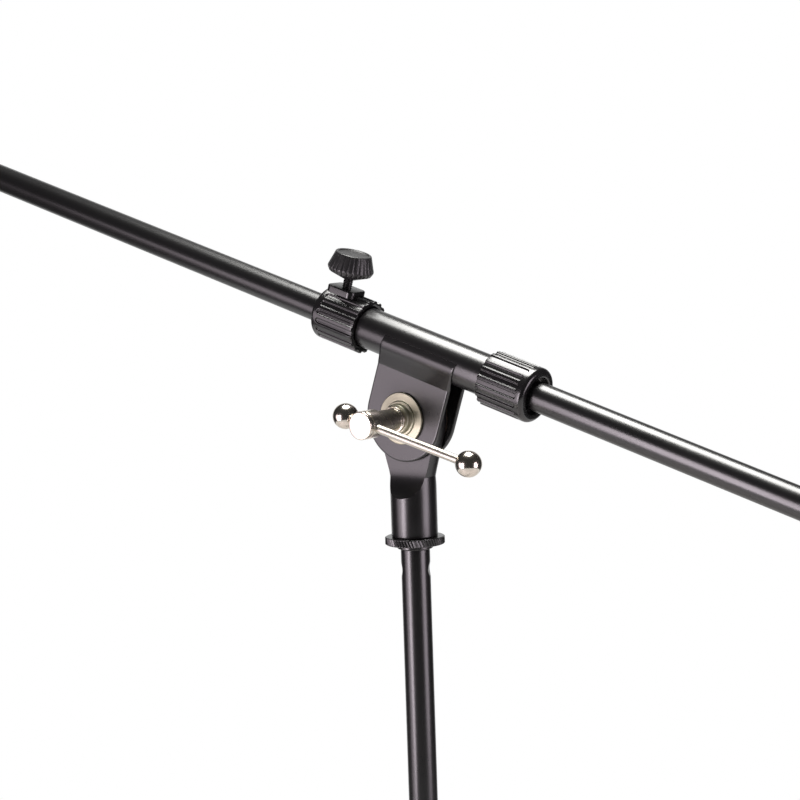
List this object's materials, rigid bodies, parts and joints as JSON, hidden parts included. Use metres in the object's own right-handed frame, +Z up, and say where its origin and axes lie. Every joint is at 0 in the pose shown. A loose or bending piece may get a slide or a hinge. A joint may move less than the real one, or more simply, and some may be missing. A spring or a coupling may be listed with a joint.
{
  "type": "boom microphone stand",
  "caption": "Boom microphone stand with a folding tripod base, telescopic mast and a sliding boom in a tilting clamp locked by a sliding-bar handle screw.",
  "frame": {"origin": "on the floor, under the mast axis", "axes": "+Z up along the mast; the boom lies in the XZ plane with its raised microphone end towards -X; the clamp's handle screw points towards -Y"},
  "size_m": [0.797, 0.64, 1.2199],
  "materials": {
    "black_coat": "satin powder coat",
    "cast_black": "satin powder coat on zinc casting",
    "black_plastic": "gloss moulded",
    "black_steel": "black oxide",
    "nickel": "bright nickel plate",
    "zinc_steel": "zinc plate",
    "rubber": "matt moulded",
    "nylon": "moulded",
    "fibre": "pressed fibre"
  },
  "bodies": {
    "base": {"base_hub": "cast_black", "lower_mast_tube": "black_coat", "mast_plug": "zinc_steel", "base_bolt": "zinc_steel", "leg_bolt_1": "zinc_steel", "leg_bolt_2": "zinc_steel", "leg_bolt_3": "zinc_steel", "leg_nut_1": "zinc_steel", "leg_nut_2": "zinc_steel", "leg_nut_3": "zinc_steel", "height_collar": "black_plastic", "height_nut": "zinc_steel"},
    "leg_1": {"leg_tube_1": "black_coat", "foot_1": "rubber"},
    "leg_2": {"leg_tube_2": "black_coat", "foot_2": "rubber"},
    "leg_3": {"leg_tube_3": "black_coat", "foot_3": "rubber"},
    "height_screw": {"height_thumbscrew": "black_steel", "height_knob": "black_plastic"},
    "upper_mast": {"upper_mast_tube": "black_coat", "upper_tube_bush": "nylon", "mast_stud": "zinc_steel"},
    "mast_lock_ring": {"lock_ring": "black_steel"},
    "swivel": {"swivel_socket": "black_coat"},
    "clamp": {"front_cheek_plate": "black_coat", "rear_cheek_plate": "black_coat", "sleeve_tube": "black_coat", "front_friction_disc": "fibre", "rear_friction_disc": "fibre", "clamp_washer": "nickel", "clamp_nut": "nickel", "boom_clamp_collar": "black_plastic", "boom_guide_collar": "black_plastic", "boom_nut": "zinc_steel"},
    "t_handle": {"t_screw": "nickel"},
    "handle_bar": {"tommy_bar": "nickel", "inner_ball": "nickel", "outer_ball": "nickel"},
    "boom_screw": {"boom_thumbscrew": "black_steel", "boom_knob": "black_plastic"},
    "boom": {"boom_tube": "black_coat", "mic_thread": "nickel", "boom_end_cap": "rubber"}
  },
  "joints": [
    {"name": "leg_1_fold", "type": "hinge", "parent": "base", "child": "leg_1", "pos_m": [0.042, 0, 0.094], "axis": [0, -1, 0], "range_deg": [0, 103]},
    {"name": "leg_2_fold", "type": "hinge", "parent": "base", "child": "leg_2", "pos_m": [-0.021, 0.03637, 0.094], "axis": [0.866, 0.5, 0], "range_deg": [0, 103]},
    {"name": "leg_3_fold", "type": "hinge", "parent": "base", "child": "leg_3", "pos_m": [-0.021, -0.03637, 0.094], "axis": [-0.866, 0.5, 0], "range_deg": [0, 103]},
    {"name": "mast_height", "type": "slide", "parent": "base", "child": "upper_mast", "axis": [0, 0, 1], "range_m": [-0.22, 0.12]},
    {"name": "height_thumbscrew_turn", "type": "hinge", "parent": "base", "child": "height_screw", "pos_m": [0, 0, 0.71182], "axis": [0, -1, 0], "range_deg": [-180, 180]},
    {"name": "lock_ring_turn", "type": "hinge", "parent": "upper_mast", "child": "mast_lock_ring", "pos_m": [0, 0, 0.98], "axis": [0, 0, 1], "range_deg": [-180, 180]},
    {"name": "boom_swivel", "type": "hinge", "parent": "upper_mast", "child": "swivel", "pos_m": [0, 0, 1.05], "axis": [0, 0, 1], "range_deg": [-180, 180]},
    {"name": "boom_tilt", "type": "hinge", "parent": "swivel", "child": "clamp", "pos_m": [0, 0, 1.05], "axis": [0, 1, 0], "range_deg": [-85, 56]},
    {"name": "t_handle_turn", "type": "hinge", "parent": "clamp", "child": "t_handle", "pos_m": [0, 0, 1.05], "axis": [0, -1, 0], "range_deg": [-180, 180]},
    {"name": "tommy_bar_slide", "type": "slide", "parent": "t_handle", "child": "handle_bar", "axis": [0.9664, 0, -0.2571], "range_m": [-0.0524, 0]},
    {"name": "boom_thumbscrew_turn", "type": "hinge", "parent": "clamp", "child": "boom_screw", "pos_m": [-0.04642, 0, 1.10372], "axis": [0.2924, 0, 0.9563], "range_deg": [-180, 180]},
    {"name": "boom_slide", "type": "slide", "parent": "clamp", "child": "boom", "axis": [0.9563, 0, -0.2924], "range_m": [-0.2, 0.2]}
  ]
}
